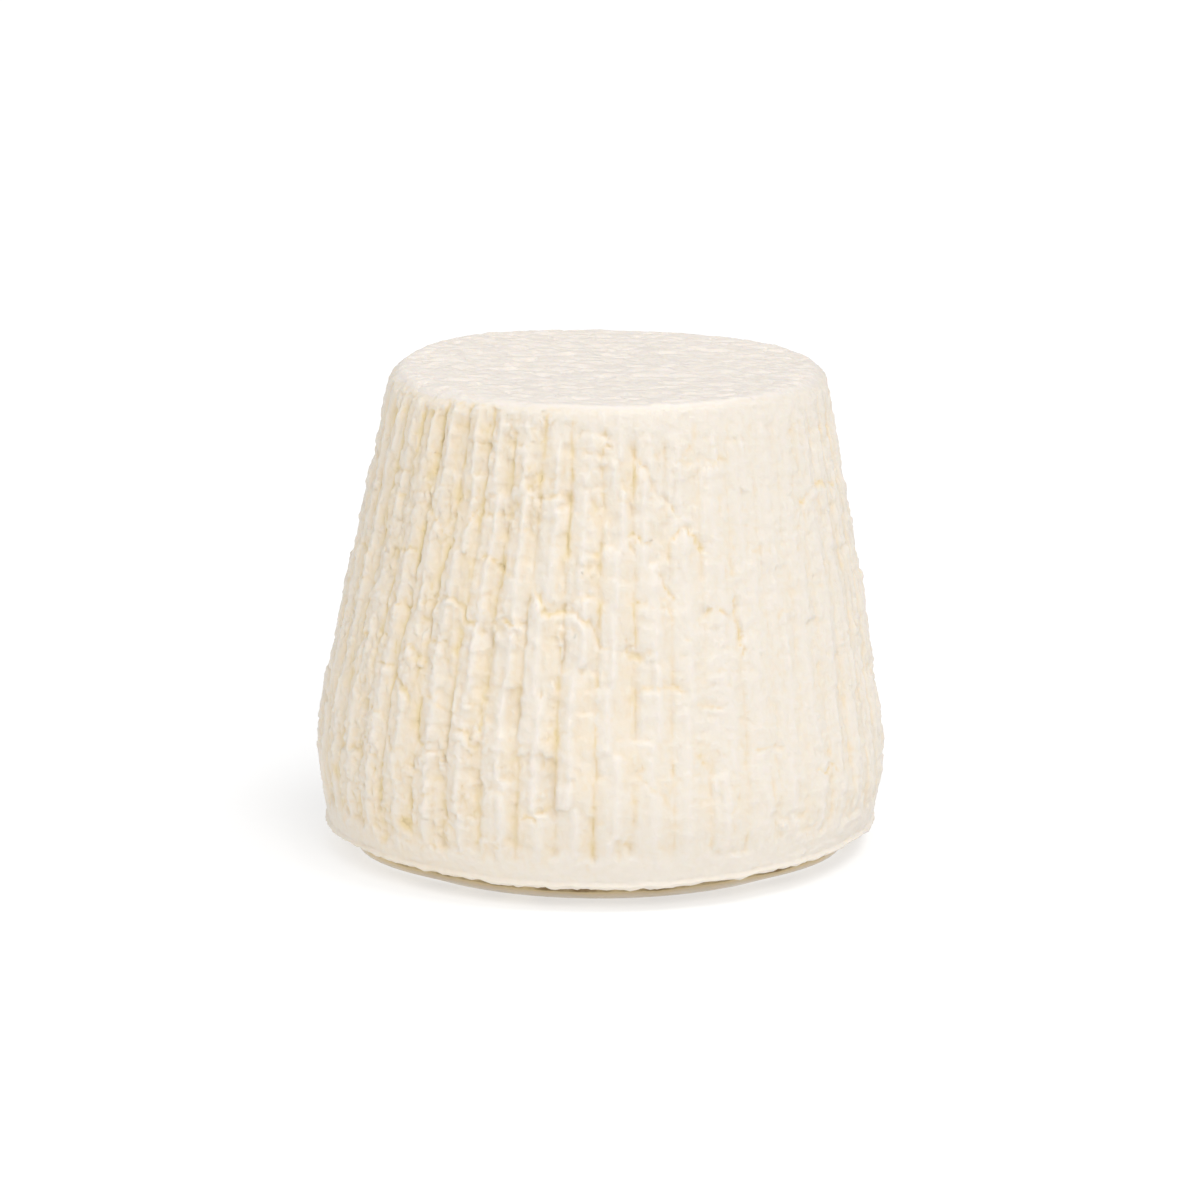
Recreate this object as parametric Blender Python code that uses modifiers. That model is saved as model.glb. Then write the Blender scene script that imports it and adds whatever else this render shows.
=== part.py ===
"""Ricotta salata: one small basket-moulded cheese, a single solid.

The wall carries the upright ribs of its basket. They are broken along knit
lines, where ladled lumps of curd met, and the top edge of each lump stands a
little proud. The cheese rests on a slightly domed underside with a flat middle.

Metres, +Z up, origin at the middle of the flat base. The front faces -Y, and
angles run from there towards +X.
"""
import math

import bpy
import numpy as np

MM = 0.001

# Driving dimensions
HEIGHT = 84.3 * MM
TOP_LEAN = 1.5 * MM             # how far the top sits to +X of the base
RIB_COUNT = 46
FIRST_GROOVE = math.radians(-1.2)

# Side outline as (height, radius): domed underside, belly, tapering wall, rim
OUTLINE = [(0.0, 34.5), (2.6, 41.5), (5.6, 48.2), (9.0, 49.7), (15.5, 49.9), (24.0, 49.2),
           (34.0, 47.5), (46.0, 45.3), (58.0, 42.9), (69.0, 40.7), (77.0, 39.2), (81.5, 38.0),
           (HEIGHT / MM, 36.3)]
ROW_HEIGHTS = [0.0, 2.6, 5.6, 8.6, 11.5, 15.0, 19.0, 22.5, 26.0, 29.5, 33.0, 36.5, 40.0, 43.5,
               47.0, 50.5, 54.0, 57.5, 61.0, 64.5, 68.0, 71.5, 75.0, 78.5, 81.8, HEIGHT / MM]
TOP_RINGS = [26.0, 13.0]        # radii of the rings across the top face

# Ribs: each has four columns, at these shares of its width from one groove
COLUMN_SHARES = [0.0, 0.13, 0.5, 0.87]
GROOVE_DEPTH = 1.1 * MM
GROOVE_HALF_WIDTH = 0.75 * MM
RIB_CROWN = 0.45 * MM           # how far a rib's sides fall away from its crest
RIBS_BEGIN = 9.0 * MM           # the plain band below the ribs
RIBS_END = 82.0 * MM
RIB_FADE = 4.0 * MM

# Where the ribs were smeared: angle, height, half widths of angle and height, share lost
SMEARS = [(math.radians(42), 58 * MM, math.radians(22), 30 * MM, 0.65),
          (math.radians(30), 20 * MM, math.radians(26), 18 * MM, 0.30),
          (math.radians(-152), 48 * MM, math.radians(16), 22 * MM, 0.60),
          (math.radians(112), 30 * MM, math.radians(14), 16 * MM, 0.50)]

# Knit lines on the front half, as (ribs from the first groove, height in mm)
KNIT_LINES = [[(-8.1, 38.0), (-7.8, 41.2), (-7.2, 43.0), (-6.4, 42.6)],
              [(-7.2, 30.8), (-6.6, 29.9), (-6.1, 29.2), (-5.8, 25.4), (-5.4, 24.4)],
              [(-6.2, 37.2), (-5.8, 36.2), (-5.4, 34.4), (-5.1, 33.0)],
              [(-5.3, 48.0), (-4.6, 51.2), (-4.0, 50.0), (-3.6, 47.2), (-2.9, 43.8)],
              [(-5.0, 27.6), (-4.8, 26.2), (-4.3, 25.4), (-4.0, 23.4)],
              [(-4.9, 33.8), (-4.6, 34.2), (-3.9, 32.2)],
              [(-4.4, 64.8), (-3.8, 65.7), (-3.0, 66.0), (-2.6, 67.4)],
              [(-3.8, 58.0), (-3.4, 59.0), (-3.0, 57.0), (-2.7, 56.2)],
              [(-1.9, 55.0), (-1.5, 50.2), (-0.9, 50.9), (-0.4, 48.9), (0.0, 44.6), (0.5, 43.7)],
              [(-1.0, 79.2), (-0.5, 79.7), (0.1, 79.0)],
              [(0.7, 78.0), (1.3, 74.4), (1.8, 69.8), (2.4, 65.0), (3.1, 60.0)],
              [(0.6, 61.8), (1.0, 63.0), (1.5, 61.4), (1.9, 55.8), (2.3, 52.0)],
              [(0.9, 37.0), (1.5, 38.2), (2.5, 37.4)],
              [(2.1, 74.2), (3.0, 74.7), (4.0, 74.3)],
              [(2.8, 48.0), (3.1, 50.2), (3.8, 48.2), (4.1, 42.0), (4.5, 39.4)],
              [(4.2, 26.4), (4.8, 26.5), (5.4, 25.0)],
              [(6.3, 60.0), (6.6, 63.4), (7.4, 66.6), (8.3, 67.3), (9.9, 65.8)],
              [(6.2, 20.4), (7.0, 20.5), (7.6, 18.6)]]
BACK_LUMP_TIERS = [22.0, 37.0, 52.0, 67.0]      # mean heights of the lumps' tops, mm
BACK_LUMP_SEED = 11
MEAN_RIB_PITCH = 6.2            # mm of arc for each rib, for distances to a knit line
CREASE_DEPTH = 0.55 * MM
CREASE_HALF_WIDTH = 1.5         # mm
LUMP_LIP = 0.35 * MM            # how far a lump's top edge stands proud
LIP_REACH = 4.0                 # mm down from the edge

# The rim stands higher behind and to the left, and is worn round in front of that
HIGH_RIM_PLACE = (-24 * MM, 26 * MM)
HIGH_RIM_REACH = 17 * MM
HIGH_RIM_RISE = 0.9 * MM
WORN_RIM_ANGLE = math.radians(-52)
WORN_RIM_SPREAD = math.radians(34)
WORN_RIM_DROP = 0.9 * MM

# Above the belly the wall swells to the left and is flatter on the right
SWELL_HEIGHT = 30 * MM
SWELL_REACH = 10 * MM
SWELL = 0.5 * MM

CHEESE_COLOUR = (0.87, 0.80, 0.68, 1.0)
CHEESE_ROUGHNESS = 0.55


def clear_scene():
    for item in list(bpy.data.objects):
        bpy.data.objects.remove(item, do_unlink=True)


def cheese_material():
    material = bpy.data.materials.new("salted_curd")
    material.use_nodes = True
    shader = material.node_tree.nodes["Principled BSDF"]
    shader.inputs["Base Color"].default_value = CHEESE_COLOUR
    shader.inputs["Roughness"].default_value = CHEESE_ROUGHNESS
    shader.inputs["Metallic"].default_value = 0.0
    return material


def outline_radius(height):
    """Radius of the plain wall at a height, by a smooth curve through OUTLINE."""
    heights, radii = np.array(OUTLINE).T * MM
    slopes = np.gradient(radii, heights)
    low = np.clip(np.searchsorted(heights, height, side="right") - 1, 0, len(heights) - 2)
    span = heights[low + 1] - heights[low]
    t = np.clip((height - heights[low]) / span, 0.0, 1.0)
    start = (1 + 2 * t) * (1 - t) ** 2 * radii[low] + t * (1 - t) ** 2 * span * slopes[low]
    end = t ** 2 * (3 - 2 * t) * radii[low + 1] + t ** 2 * (t - 1) * span * slopes[low + 1]
    return start + end


def turned_cheese(collection):
    """The plain turned form: a profile from the top's middle, down the wall, to the base."""
    wall = [(float(outline_radius(np.float64(row * MM))), row * MM) for row in reversed(ROW_HEIGHTS)]
    profile = [(0.0, HEIGHT)] + [(ring * MM, HEIGHT) for ring in reversed(TOP_RINGS)]
    profile += wall + [(0.0, 0.0)]
    mesh = bpy.data.meshes.new("cheese_profile")
    edges = [(index, index + 1) for index in range(len(profile) - 1)]
    mesh.from_pydata([(radius, 0.0, height) for radius, height in profile], edges, [])
    turned = bpy.data.objects.new("ricotta_salata", mesh)
    collection.objects.link(turned)
    screw = turned.modifiers.new("turn", "SCREW")
    screw.axis = "Z"
    screw.angle = math.tau
    screw.steps = RIB_COUNT * len(COLUMN_SHARES)
    screw.render_steps = screw.steps
    screw.use_merge_vertices = True
    screw.merge_threshold = 0.00005
    depsgraph = bpy.context.evaluated_depsgraph_get()
    turned_mesh = bpy.data.meshes.new_from_object(turned.evaluated_get(depsgraph))
    turned.modifiers.clear()
    turned.data = turned_mesh
    bpy.data.meshes.remove(mesh)
    return turned


def smooth_step(value, low, high):
    t = np.clip((value - low) / (high - low), 0.0, 1.0)
    return t * t * (3 - 2 * t)


def smear_keep(angle, height):
    """Share of the ribs' depth that is left at each place."""
    keep = np.ones_like(angle)
    for centre, level, angle_reach, height_reach, loss in SMEARS:
        away = (angle - centre + math.pi) % math.tau - math.pi
        keep *= 1 - loss * np.exp(-(away / angle_reach) ** 2 - ((height - level) / height_reach) ** 2)
    return keep


def rib_relief(rib, angle, height, radius):
    """Depth below the ribs' crests: a narrow groove on each side of a crowned rib."""
    share = rib % 1.0
    share_from_groove = np.minimum(share, 1 - share)
    from_groove = share_from_groove * math.tau * radius / RIB_COUNT
    groove = GROOVE_DEPTH * np.exp(-(from_groove / GROOVE_HALF_WIDTH) ** 2)
    crown = RIB_CROWN * (1 - 2 * share_from_groove) ** 2
    inside = smooth_step(height, RIBS_BEGIN - RIB_FADE / 2, RIBS_BEGIN + RIB_FADE / 2)
    inside *= 1 - smooth_step(height, RIBS_END - RIB_FADE / 2, RIBS_END + RIB_FADE / 2)
    return -(groove + crown) * inside * smear_keep(angle, height)


def back_knit_lines():
    """Arched lump tops in staggered tiers round the back, by a seeded rule."""
    draw = np.random.default_rng(BACK_LUMP_SEED)
    lines = []
    for tier, level in enumerate(BACK_LUMP_TIERS):
        middle = 12.2 + 1.3 * (tier % 2)
        while middle < RIB_COUNT - 10.5:
            half_width = draw.uniform(1.0, 1.9)
            top = level + draw.uniform(-4.5, 4.5)
            left_drop, right_drop = draw.uniform(1.5, 7.0, 2)
            lines.append([(middle - half_width, top - left_drop),
                          (middle - half_width / 2, top - left_drop / 4),
                          (middle, top),
                          (middle + half_width / 2, top - right_drop / 4),
                          (middle + half_width, top - right_drop)])
            middle += 2 * half_width + draw.uniform(0.3, 1.4)
    return lines


def knit_relief(rib, height):
    """A crease along each knit line, and the proud lip of the lump below it."""
    across = rib * MEAN_RIB_PITCH
    up = height / MM
    round_length = RIB_COUNT * MEAN_RIB_PITCH
    crease = np.zeros_like(rib)
    lip = np.zeros_like(rib)
    for line in KNIT_LINES + back_knit_lines():
        nearest = np.full_like(rib, 1e3)
        side = np.zeros_like(rib)
        for (rib_a, up_a), (rib_b, up_b) in zip(line[:-1], line[1:]):
            run, rise = (rib_b - rib_a) * MEAN_RIB_PITCH, up_b - up_a
            dx = (across - rib_a * MEAN_RIB_PITCH + round_length / 2) % round_length - round_length / 2
            dy = up - up_a
            t = np.clip((dx * run + dy * rise) / (run ** 2 + rise ** 2), 0.0, 1.0)
            gap = np.hypot(dx - t * run, dy - t * rise)
            above = dy * run - dx * rise
            side = np.where(gap < nearest, np.sign(above), side)
            nearest = np.minimum(nearest, gap)
        crease = np.maximum(crease, np.exp(-(nearest / CREASE_HALF_WIDTH) ** 2))
        lip = np.maximum(lip, np.where(side < 0, np.exp(-nearest / LIP_REACH), 0.0))
    inside = smooth_step(height, 8 * MM, 12 * MM)
    return (LUMP_LIP * lip - CREASE_DEPTH * crease) * inside


def shape_cheese(cheese):
    """Press the ribs, knit lines and uneven rim into the turned form."""
    mesh = cheese.data
    points = np.empty(len(mesh.vertices) * 3)
    mesh.vertices.foreach_get("co", points)
    points = points.reshape(-1, 3)
    radius = np.hypot(points[:, 0], points[:, 1])
    height = points[:, 2].copy()
    step = math.tau / (RIB_COUNT * len(COLUMN_SHARES))
    column = np.rint(np.arctan2(points[:, 0], -points[:, 1]) / step)
    column_in_rib = (column % len(COLUMN_SHARES)).astype(int)
    rib = column // len(COLUMN_SHARES) + np.array(COLUMN_SHARES)[column_in_rib]
    angle = FIRST_GROOVE + rib * math.tau / RIB_COUNT

    wall = (radius >= outline_radius(height) - 0.1 * MM) & (height > 1 * MM)
    relief = rib_relief(rib, angle, height, radius) + knit_relief(rib, height)
    relief -= SWELL * np.sin(angle) * np.exp(-((height - SWELL_HEIGHT) / SWELL_REACH) ** 2)
    radius = radius + np.where(wall, relief, 0.0)

    rim = smooth_step(height, 78 * MM, HEIGHT)
    turn_from_wear = (angle - WORN_RIM_ANGLE + math.pi) % math.tau - math.pi
    worn = rim * np.exp(-(turn_from_wear / WORN_RIM_SPREAD) ** 2) * smooth_step(radius, 27 * MM, 36 * MM)
    radius -= WORN_RIM_DROP * worn
    x = radius * np.sin(angle)
    y = -radius * np.cos(angle)
    from_high_rim = np.hypot(x - HIGH_RIM_PLACE[0], y - HIGH_RIM_PLACE[1])
    rise = HIGH_RIM_RISE * np.exp(-(from_high_rim / HIGH_RIM_REACH) ** 2) - WORN_RIM_DROP * worn / 2

    points[:, 0] = x + TOP_LEAN * height / HEIGHT
    points[:, 1] = y
    points[:, 2] = height + rise * smooth_step(height, 60 * MM, HEIGHT)
    middle = (points.min(axis=0) + points.max(axis=0)) / 2
    points[:, :2] -= middle[:2]
    mesh.vertices.foreach_set("co", points.ravel())
    mesh.shade_smooth()
    mesh.set_sharp_from_angle(angle=math.radians(50))
    mesh.update()


def main():
    clear_scene()
    collection = bpy.data.collections.new("RicottaSalata")
    bpy.context.scene.collection.children.link(collection)
    cheese = turned_cheese(collection)
    shape_cheese(cheese)
    cheese.data.materials.append(cheese_material())


main()
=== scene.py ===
import math
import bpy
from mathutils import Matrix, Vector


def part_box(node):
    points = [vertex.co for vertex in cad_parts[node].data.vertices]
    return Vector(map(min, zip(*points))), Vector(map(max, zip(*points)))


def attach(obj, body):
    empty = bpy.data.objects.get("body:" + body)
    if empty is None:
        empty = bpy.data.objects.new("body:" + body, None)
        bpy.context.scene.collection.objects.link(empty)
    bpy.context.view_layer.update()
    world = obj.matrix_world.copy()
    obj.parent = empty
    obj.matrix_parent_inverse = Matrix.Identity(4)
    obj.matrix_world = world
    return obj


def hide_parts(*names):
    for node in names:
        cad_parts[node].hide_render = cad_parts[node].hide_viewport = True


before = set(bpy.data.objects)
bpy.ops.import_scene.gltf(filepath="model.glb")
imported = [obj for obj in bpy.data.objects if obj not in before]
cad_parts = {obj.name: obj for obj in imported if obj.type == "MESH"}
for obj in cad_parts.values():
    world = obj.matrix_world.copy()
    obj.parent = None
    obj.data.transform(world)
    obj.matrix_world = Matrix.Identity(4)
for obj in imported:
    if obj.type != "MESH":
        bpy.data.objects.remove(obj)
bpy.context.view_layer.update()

from types import SimpleNamespace

import bpy
import numpy as np
from mathutils import Vector, noise

mm = 0.001
cheeseNode = "ricotta_salata"
nodeLow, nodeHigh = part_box(cheeseNode)
print("frame loaded, box in mm:", [round(side / mm, 1) for side in nodeHigh - nodeLow])


def smoothStep(value, low, high):
    share = np.clip((value - low) / (high - low), 0.0, 1.0)
    return share * share * (3 - 2 * share)


def bell(value, reach):
    return np.exp(-(value / reach) ** 2)


def facing(angle, direction, spread):
    # 1 for points of the wall that face this way, falling to nothing round the sides
    return bell((angle - direction + 180) % 360 - 180, spread)


def readPoints(mesh):
    points = np.empty(len(mesh.vertices) * 3)
    mesh.vertices.foreach_get("co", points)
    return points.reshape(-1, 3)


def writePoints(mesh, points):
    mesh.vertices.foreach_set("co", points.ravel())
    mesh.update()


def spreadOut(mesh, values, rounds):
    # each point's value shared with its neighbours, this many times over
    edges = np.empty(len(mesh.edges) * 2, dtype=np.int32)
    mesh.edges.foreach_get("vertices", edges)
    first, second = edges.reshape(-1, 2).T
    count = len(values)
    neighbours = np.bincount(first, minlength=count) + np.bincount(second, minlength=count)
    for turn in range(rounds):
        total = np.bincount(first, values[second], count) + np.bincount(second, values[first], count)
        values = 0.4 * values + 0.6 * total / neighbours
    return values


def selectNothing():
    if bpy.context.object and bpy.context.object.mode != "OBJECT":
        bpy.ops.object.mode_set(mode="OBJECT")
    bpy.ops.object.select_all(action="DESELECT")


# the cheese: lengths in mm, directions in degrees from the front towards the right
cheese = {
    # height and radius, from the sole up over the crisp lower edge and the belly to the rim
    "outline": [(0.0, 39.4), (1.3, 39.7), (2.2, 40.6), (2.9, 43.6), (3.5, 47.2), (5.1, 47.95),
                (7.0, 48.35), (9.4, 48.95), (12.0, 49.55), (16.0, 49.9), (24.0, 49.2), (34.0, 47.5),
                (46.0, 45.3), (58.0, 42.9), (69.0, 40.7), (77.0, 39.2), (81.5, 38.1), (84.3, 37.4)],
    "lean": 1.5,  # how far the top sits to the right of the foot
    "swell": (30.0, 10.0, 0.5),  # height, reach and size of the swelling to the left
    "boxSlack": 0.02,  # room left inside the frame's box
    "ribs": 46,
    "firstGroove": -1.2,
    "columnsPerRib": 4,
    "rings": 46,  # rings up the wall before it is subdivided
    "rimRings": [0.4, 0.9, 1.6, 2.6],  # insets of the first rings across the top
    "cuts": 4,
    "triangles": 196000,
}
topHeight = cheese["outline"][-1][0]
topRadius = cheese["outline"][-1][1]

foot = {
    "plain": (2.0, 4.8),  # the relief fades in between these heights
    "step": (3.5, 30.0, 75.0),  # how much further the sole reaches at the sides, from and to where
    "stepHeights": (1.5, 3.2),  # and the heights between which that ends
    "edgeHeights": (0.2, 1.6),  # the waves and the lift fade in between these
    "edge": (3.4, 1.3, 0.55),  # height, reach and size of the waves along the lower edge
    "lift": (0.4, 0.45),  # how much higher the edge runs in front, and further at either side
    "liftSides": (18.0, 42.0, 62.0, 86.0),  # where that side lift begins, is full, and ends again
    # painted shade on the sole under the crisp edge: its least and how much more, the heights between which
    # it darkens upwards, and where it ends
    "paintedSoleShade": (0.2, 0.8), "paintedSoleShadeHeights": (0.2, 1.3), "soleEnds": (2.9, 3.4),
}

rim = {
    "high": (-24.0, 26.0, 17.0, 0.9),  # place, reach and rise of the high part of the rim
    "highFrom": 60.0,  # the height where that rise begins
    "drop": 0.40,  # how far the rim's corner is rounded down
    "dropReach": 3.5,  # how far that rounding goes, in drops
    # direction, spread and further drop of the worn sides
    "worn": [(-62.0, 34.0, 0.85), (78.0, 30.0, 0.55)],
    "lumps": {"topBroad": 0.22, "topSmall": 0.24, "topTiny": 0.10},
    "grain": (0.16, 0.10, 0.14),  # how far the top's lumps, creases and pinholes go
    "lumpsNear": 78.0, "lumpsFrom": 82.5,  # they are read above the first height and begin at the second
    "smoother": (0.6, 34.0, 37.0),  # how much weaker they are towards the rim, from and to radius
}

ribs = {
    # height across a rib from one groove to the next, as shares of the depth
    "section": [(0.0, 0.0), (0.05, 0.26), (0.1, 0.46), (0.2, 0.55), (0.34, 0.63), (0.41, 0.86), (0.47, 1.0),
                (0.53, 0.94), (0.6, 0.60), (0.7, 0.36), (0.82, 0.22), (0.93, 0.08), (1.0, 0.0)],
    "depth": 0.86, "slit": 0.12, "slitWidth": 0.42,
    "slitRight": (0.35, 0.0, 40.0),  # how much weaker the slits are to the right, from and to direction
    "deeper": 1.04,
    "deeperLeft": (0.60, -24.0, 17.0),  # how much deeper, direction and spread
    "deeperRight": (0.25, 2.0, 16.0),  # how much deeper, from and to direction
    "begin": 9.6, "end": 81.6, "fade": 1.6,
    "beginWander": 1.6, "endWander": 1.2,
    "grooveEnds": (0.8, 0.6), "ribEnds": (5.0, 0.2),  # how far below and above their end they fade out
    "higher": (2.6, -52.0, 34.0),  # how much higher the ribs run on the left, its direction and spread
    "wander": 0.045, "smallWander": 0.02,
    "shift": 0.05,
    # sideways shift in ribs, its direction and spread, from and to height
    "lean": (0.34, -40.0, 30.0, 36.0, 78.0),
    "early": 0.12,  # how much sooner the grooves come on the left, in ribs
    "earlySides": (34.0, 52.0, 80.0, 110.0),  # where that begins, is full, and ends again
    # low in front the grooves run on unbroken: direction, spread, from and to height
    "frontLow": (2.0, 15.0, 36.0, 50.0),
    # where they are smeared: direction, height, reach of both, share lost
    "smears": [(46, 62, 28, 34, 0.62), (26, 40, 28, 60, 0.45), (62, 20, 30, 22, 0.30),
               (-152, 48, 16, 22, 0.60), (112, 30, 14, 16, 0.50)],
    "pitch": 6.2,  # a rib's width, for measuring along the wall
}

# each rib is a stack of short lengths of curd that knitted end to end in the mould
lengths = {
    "seed": 5, "perRib": 26, "shortest": 4.5, "longest": 17.0,
    "firstDrop": 8.0,  # how far below the foot the first one may begin
    "farOff": 9.0,  # how far off a joint is said to be where there is none
    "arch": 0.9, "slant": 1.4,  # how far a joint curves and slants across its rib
    "offset": 0.26, "tip": 0.46, "tipReach": 0.9, "recess": 0.26, "recessReach": 0.6,
    "ragged": 0.60, "crestShift": 0.15, "grooveShift": 0.05, "depthShift": 0.35,
}

# knit lines on the front, as depth and (rib, height) points, from the left round to the right
knitLines = [
    (0.7, [(-9.8, 54.7), (-9.2, 55.2), (-8.7, 54.6), (-8.3, 55.2)]),
    (0.6, [(-8.6, 66.6), (-8.1, 66.9), (-7.4, 65.6), (-7.0, 65.8)]),
    (0.6, [(-8.1, 69.4), (-7.6, 69.8), (-7.1, 70.8)]),
    (0.8, [(-8.1, 38.0), (-7.8, 41.2), (-7.2, 43.0), (-6.4, 42.6)]),
    (0.7, [(-8.3, 21.0), (-7.9, 22.4), (-7.3, 22.6), (-6.7, 21.0)]),
    (0.8, [(-7.3, 31.2), (-6.8, 30.6), (-6.2, 29.8), (-5.95, 27.0), (-5.75, 24.8), (-5.3, 24.4)]),
    (0.8, [(-7.0, 54.6), (-6.7, 57.2), (-6.3, 57.9), (-5.9, 56.8)]),
    (0.9, [(-6.9, 50.4), (-6.6, 48.8), (-6.2, 48.2), (-5.85, 47.0)]),
    (0.7, [(-6.9, 38.0), (-6.3, 38.1), (-6.0, 37.2)]),
    (0.7, [(-6.7, 64.6), (-6.3, 65.9), (-5.9, 65.4), (-5.6, 63.2), (-5.1, 63.4)]),
    (0.7, [(-6.7, 67.4), (-6.2, 67.9)]),
    (1.0, [(-6.2, 37.2), (-5.9, 36.3), (-5.5, 35.4), (-5.4, 33.9), (-5.15, 33.0)]),
    (0.7, [(-5.9, 40.3), (-5.6, 41.9), (-5.2, 41.1), (-4.95, 39.8)]),
    (1.1, [(-5.3, 48.0), (-5.0, 49.8), (-4.6, 51.2), (-4.1, 50.6), (-3.9, 48.4), (-3.6, 47.3),
           (-3.2, 45.8), (-2.9, 43.8)]),
    (0.9, [(-5.1, 28.2), (-4.85, 26.4), (-4.5, 25.9), (-4.2, 25.4), (-4.0, 23.0)]),
    (0.7, [(-4.95, 33.8), (-4.65, 34.3), (-4.3, 33.0), (-3.95, 32.3)]),
    (0.7, [(-4.6, 62.2), (-4.3, 64.8), (-3.9, 65.5), (-3.4, 65.7), (-3.0, 66.0), (-2.7, 67.5)]),
    (0.6, [(-4.4, 17.6), (-4.1, 16.0), (-3.9, 13.8), (-3.5, 11.2)]),
    (0.8, [(-3.95, 29.2), (-3.7, 30.2), (-3.3, 28.8), (-3.05, 27.0)]),
    (0.9, [(-3.8, 57.8), (-3.6, 58.8), (-3.35, 59.0), (-3.1, 57.4), (-2.8, 56.2)]),
    (0.7, [(-2.95, 21.0), (-2.7, 21.2), (-2.4, 20.2), (-2.2, 18.0)]),
    (0.8, [(-2.8, 48.8), (-2.4, 48.1), (-1.85, 48.3)]),
    (0.6, [(-2.75, 64.0), (-2.4, 64.2), (-2.0, 62.6)]),
    (0.8, [(-2.2, 68.9), (-1.8, 69.0), (-1.4, 69.6), (-1.1, 69.0), (-0.9, 67.4)]),
    (0.8, [(-2.1, 16.2), (-1.7, 16.6), (-1.5, 15.8), (-1.4, 13.8)]),
    (1.1, [(-1.95, 56.0), (-1.85, 53.4), (-1.65, 51.2), (-1.4, 49.9), (-1.0, 50.9), (-0.6, 50.4),
           (-0.35, 48.6), (-0.1, 46.8), (0.05, 44.6), (0.5, 43.7)]),
    (0.7, [(-1.7, 71.4), (-1.45, 69.9)]),
    (0.7, [(-1.0, 79.3), (-0.5, 79.7), (0.1, 79.4), (0.3, 78.6)]),
    (0.6, [(-0.9, 76.4), (-0.5, 76.9), (-0.1, 76.3), (0.1, 77.6), (0.4, 77.5)]),
    (0.6, [(-0.15, 60.0), (0.05, 61.8), (0.25, 62.2), (0.45, 61.0)]),
    (0.8, [(0.6, 61.8), (0.75, 62.9), (1.05, 63.0), (1.3, 62.0), (1.55, 61.0)]),
    (0.8, [(0.7, 78.4), (1.1, 76.0), (1.4, 73.4), (1.6, 70.6), (1.8, 69.4), (2.2, 67.4), (2.4, 64.8)]),
    (0.7, [(0.75, 52.5), (1.05, 52.3), (1.45, 52.2)]),
    (0.7, [(0.7, 43.4), (0.85, 44.8), (1.05, 45.0)]),
    (0.6, [(0.95, 37.2), (1.3, 38.1), (1.7, 38.3), (2.1, 37.9), (2.5, 37.2)]),
    (0.5, [(1.0, 26.6), (1.15, 23.2), (1.5, 21.0), (1.7, 21.3)]),
    (1.1, [(1.7, 57.4), (1.85, 55.4), (2.05, 53.2), (2.25, 52.0)]),
    (0.9, [(2.05, 61.0), (2.2, 63.0), (2.55, 63.9), (2.85, 62.4), (3.0, 60.6), (3.15, 59.2)]),
    (0.6, [(2.1, 74.2), (2.6, 74.5), (3.1, 74.6), (3.6, 74.9), (4.1, 74.3)]),
    (0.5, [(2.35, 46.2), (2.6, 45.5)]),
    (0.5, [(2.6, 34.6), (3.0, 34.3), (3.5, 33.9)]),
    (0.8, [(2.85, 48.2), (2.95, 49.8), (3.15, 50.6), (3.5, 50.2), (3.8, 48.4)]),
    (0.5, [(3.1, 40.4), (3.5, 40.5), (4.0, 39.8), (4.6, 39.4)]),
    (0.9, [(4.0, 53.4), (3.95, 49.0), (4.05, 45.4), (4.1, 40.4)]),
    (0.6, [(4.1, 26.0), (4.4, 26.6), (5.0, 26.4), (5.3, 25.0)]),
    (0.4, [(4.5, 59.3), (5.0, 59.2), (5.6, 58.6)]),
    (0.6, [(4.8, 13.8), (5.2, 14.2), (5.6, 13.9)]),
    (0.5, [(5.2, 47.4), (5.5, 48.8), (6.1, 48.2)]),
    (0.8, [(6.35, 60.4), (6.55, 63.2), (7.0, 65.5), (7.5, 66.8), (8.2, 67.3), (9.0, 66.8), (9.9, 65.8)]),
    (0.7, [(6.1, 20.6), (6.6, 20.1), (7.0, 20.6), (7.4, 19.2)]),
    (0.5, [(7.7, 40.2), (8.2, 40.6), (9.0, 42.0), (9.7, 41.4), (10.5, 43.0)]),
]

# single dents (and, with a negative depth, crumbs): rib, height, reach and depth
dents = [
    (4.05, 62.6, 0.5, 0.30), (4.1, 60.0, 0.4, 0.25), (4.05, 74.6, 0.4, 0.25), (-1.0, 68.5, 0.6, 0.35),
    (-2.75, 67.5, 0.6, 0.35), (-0.95, 60.0, 0.6, 0.35), (-0.1, 60.0, 0.5, 0.30), (-6.55, 80.5, 0.7, 0.40),
    (-7.0, 77.0, 0.7, 0.40), (-5.2, 12.5, 1.0, 0.40), (2.7, 26.5, 0.5, 0.30), (2.85, 25.2, 0.5, 0.30),
    (3.0, 24.2, 0.4, 0.25), (0.95, 43.6, 0.7, 0.40), (1.15, 43.2, 0.7, 0.45), (1.4, 43.9, 0.5, 0.30),
    (-8.4, 17.0, 1.4, 0.40), (5.1, 12.6, 0.7, -0.40), (5.5, 12.5, 0.6, -0.35), (0.4, 12.5, 0.6, -0.30),
    (3.7, 8.5, 0.7, -0.35), (2.7, 8.0, 0.6, -0.30),
]

knit = {
    "crease": 0.36, "creaseWidth": 0.29,
    "lip": 0.34, "lipReach": 2.2,
    "recess": 0.26, "recessReach": 0.9,
    "tip": 0.50, "tipReach": 1.2,  # how a rib rounds down where it ends below a line
    "ragged": 0.75,
    "reach": 14.0,  # how far from a line the wall is looked at
}

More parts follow.
